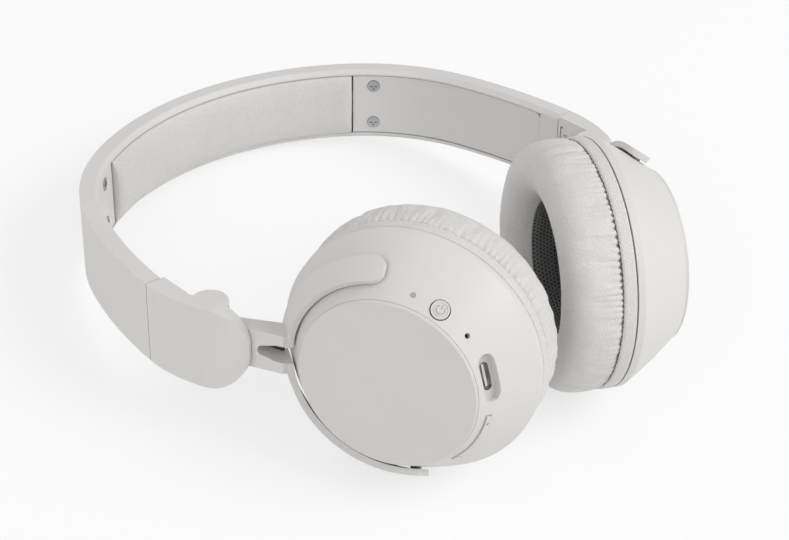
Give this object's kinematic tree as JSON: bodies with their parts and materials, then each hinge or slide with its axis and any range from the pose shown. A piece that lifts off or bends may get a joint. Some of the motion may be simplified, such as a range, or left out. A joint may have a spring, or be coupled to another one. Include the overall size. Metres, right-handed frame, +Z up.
{
  "type": "over ear headphones",
  "caption": "Folding over ear headphones with a padded band, sliding ends, C shaped yokes, round cups with soft cushions, and a power button and volume rocker.",
  "frame": {"origin": "middle of the bounding box, on the surface that the headphones lie on", "axes": "+X towards the wearer's right cup, +Y from the crown of the band to the open end, +Z up off the resting surface"},
  "size_m": [0.1652, 0.1786, 0.0749],
  "materials": {
    "shell_plastic": "fine satin moulded plastic",
    "cap_plastic": "soft touch satin plastic",
    "cover_plastic": "fine satin moulded plastic",
    "button_plastic": "satin plastic",
    "band_leatherette": "grained leatherette",
    "cushion_leatherette": "soft creased leatherette",
    "screw_steel": "zinc plated steel",
    "spring_steel": "brushed spring steel",
    "socket_metal": "stamped steel",
    "magnet_steel": "plated steel",
    "speaker_mesh": "dark acoustic mesh",
    "dark_plastic": "black moulded plastic",
    "diaphragm_film": "thin film",
    "clear_plastic": "frosted light pipe",
    "board_green": "solder mask",
    "switch_black": "moulded switch bodies",
    "battery_foil": "foil pouch"
  },
  "bodies": {
    "headband": {"headband_shell": "shell_plastic", "spring_band": "spring_steel", "pad_backing": "dark_plastic", "headband_pad": "band_leatherette", "headband_screws": "screw_steel", "inner_cover_right": "cover_plastic", "inner_cover_left": "cover_plastic"},
    "slider_right": {"slider_rail_right": "spring_steel", "end_housing_right": "shell_plastic", "end_cover_right": "cover_plastic", "end_cover_screw_right": "screw_steel", "hinge_pin_right": "screw_steel"},
    "yoke_right": {"yoke_right": "shell_plastic", "neck_liner_right": "dark_plastic", "yoke_pivots_right": "screw_steel"},
    "cup_right": {"cup_housing_right": "shell_plastic", "cup_cap_right": "cap_plastic", "baffle_right": "dark_plastic", "baffle_screws_right": "screw_steel", "cushion_ring_right": "dark_plastic", "ear_cushion_right": "cushion_leatherette", "speaker_mesh_right": "speaker_mesh", "driver_frame_right": "dark_plastic", "diaphragm_right": "diaphragm_film", "driver_magnet_right": "magnet_steel", "usb_socket": "socket_metal", "light_pipe": "clear_plastic", "control_boards": "board_green", "control_switches": "switch_black", "circuit_board": "board_green"},
    "slider_left": {"slider_rail_left": "spring_steel", "end_housing_left": "shell_plastic", "end_cover_left": "cover_plastic", "end_cover_screw_left": "screw_steel", "hinge_pin_left": "screw_steel"},
    "yoke_left": {"yoke_left": "shell_plastic", "neck_liner_left": "dark_plastic", "yoke_pivots_left": "screw_steel"},
    "cup_left": {"cup_housing_left": "shell_plastic", "cup_cap_left": "cap_plastic", "baffle_left": "dark_plastic", "baffle_screws_left": "screw_steel", "cushion_ring_left": "dark_plastic", "ear_cushion_left": "cushion_leatherette", "speaker_mesh_left": "speaker_mesh", "driver_frame_left": "dark_plastic", "diaphragm_left": "diaphragm_film", "driver_magnet_left": "magnet_steel", "battery": "battery_foil"},
    "power_button": {"power_button": "button_plastic"},
    "volume_rocker": {"volume_rocker": "button_plastic"}
  },
  "joints": [
    {"name": "extend_right", "type": "hinge", "parent": "headband", "child": "slider_right", "pos_m": [-0.07474, 0.00842, 0.02972], "axis": [0, -0.1748, 0.9846], "range_deg": [0, 8]},
    {"name": "fold_right", "type": "hinge", "parent": "slider_right", "child": "yoke_right", "pos_m": [0.0742, 0.01756, 0.03134], "axis": [0, -0.1748, 0.9846], "range_deg": [0, 80]},
    {"name": "tilt_right", "type": "hinge", "parent": "yoke_right", "child": "cup_right", "pos_m": [0.04634, 0.06106, 0.03907], "axis": [0.0944, -0.3534, 0.9307], "range_deg": [-12, 0]},
    {"name": "extend_left", "type": "hinge", "parent": "headband", "child": "slider_left", "pos_m": [0.07474, 0.00842, 0.02972], "axis": [0, -0.1748, 0.9846], "range_deg": [-8, 0]},
    {"name": "fold_left", "type": "hinge", "parent": "slider_left", "child": "yoke_left", "pos_m": [-0.0742, 0.01756, 0.03134], "axis": [0, -0.1748, 0.9846], "range_deg": [-80, 0]},
    {"name": "tilt_left", "type": "hinge", "parent": "yoke_left", "child": "cup_left", "pos_m": [-0.04634, 0.06106, 0.03907], "axis": [-0.0944, -0.3534, 0.9307], "range_deg": [0, 12]},
    {"name": "press_power", "type": "slide", "parent": "cup_right", "child": "power_button", "axis": [-0.366, -0.4747, -0.8005], "range_m": [0, 0.0005], "stiffness_N_per_m": 1500},
    {"name": "press_volume", "type": "hinge", "parent": "cup_right", "child": "volume_rocker", "pos_m": [0.03764, 0.08334, 0.0303], "axis": [-0.9494, 0.1543, -0.2736], "range_deg": [-2, 2], "stiffness_Nm_per_rad": 0.4}
  ]
}
